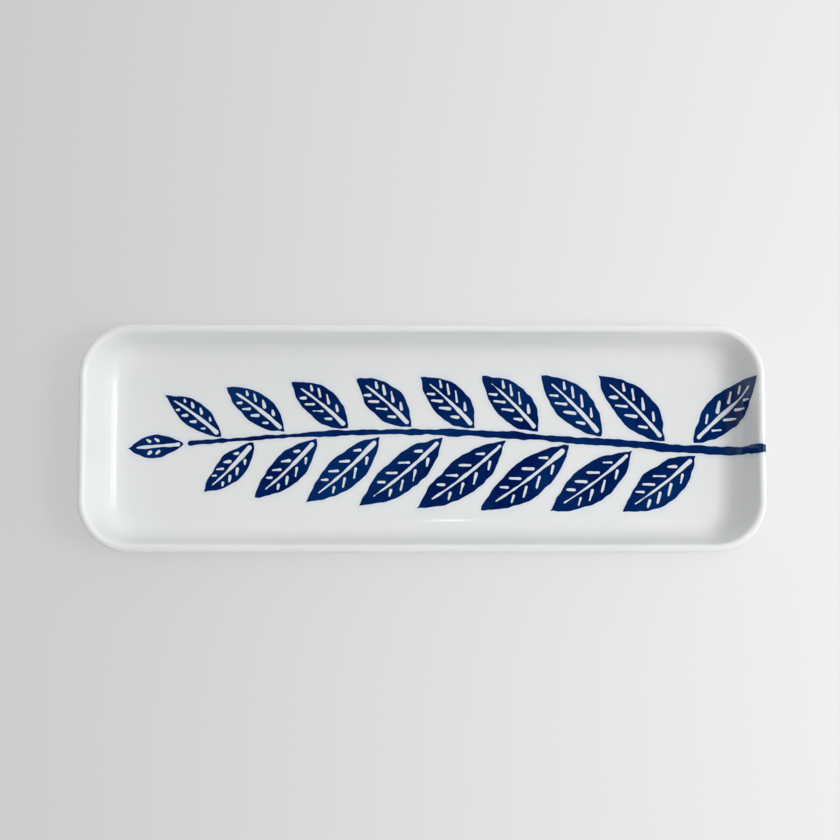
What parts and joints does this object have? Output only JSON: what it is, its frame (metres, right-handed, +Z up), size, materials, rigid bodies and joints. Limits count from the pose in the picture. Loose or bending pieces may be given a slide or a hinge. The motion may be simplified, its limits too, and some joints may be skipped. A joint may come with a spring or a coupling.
{
  "type": "serving platter",
  "caption": "Long shallow porcelain platter: a rounded rectangle with a low leaning wall, a rounded lip and a foot ring, with a blue leaf sprig printed under clear glaze.",
  "frame": {"origin": "on the ground under the middle of the platter", "axes": "+X along the platter towards the end where the stem comes in, +Y across it, +Z up out of the well"},
  "size_m": [0.3, 0.1, 0.023],
  "materials": {
    "porcelain": "bare fired porcelain, seen only on the foot",
    "glaze": "clear gloss glaze over white porcelain",
    "cobalt_print": "cobalt blue pigment under the glaze"
  },
  "bodies": {
    "root": {"porcelain_body": "porcelain", "outer_glaze": "glaze", "base_glaze": "glaze", "print_stem": "cobalt_print", "print_upper_leaves": "cobalt_print", "print_lower_leaves": "cobalt_print", "print_tip_leaf": "cobalt_print", "print_end_leaf": "cobalt_print"}
  },
  "joints": []
}
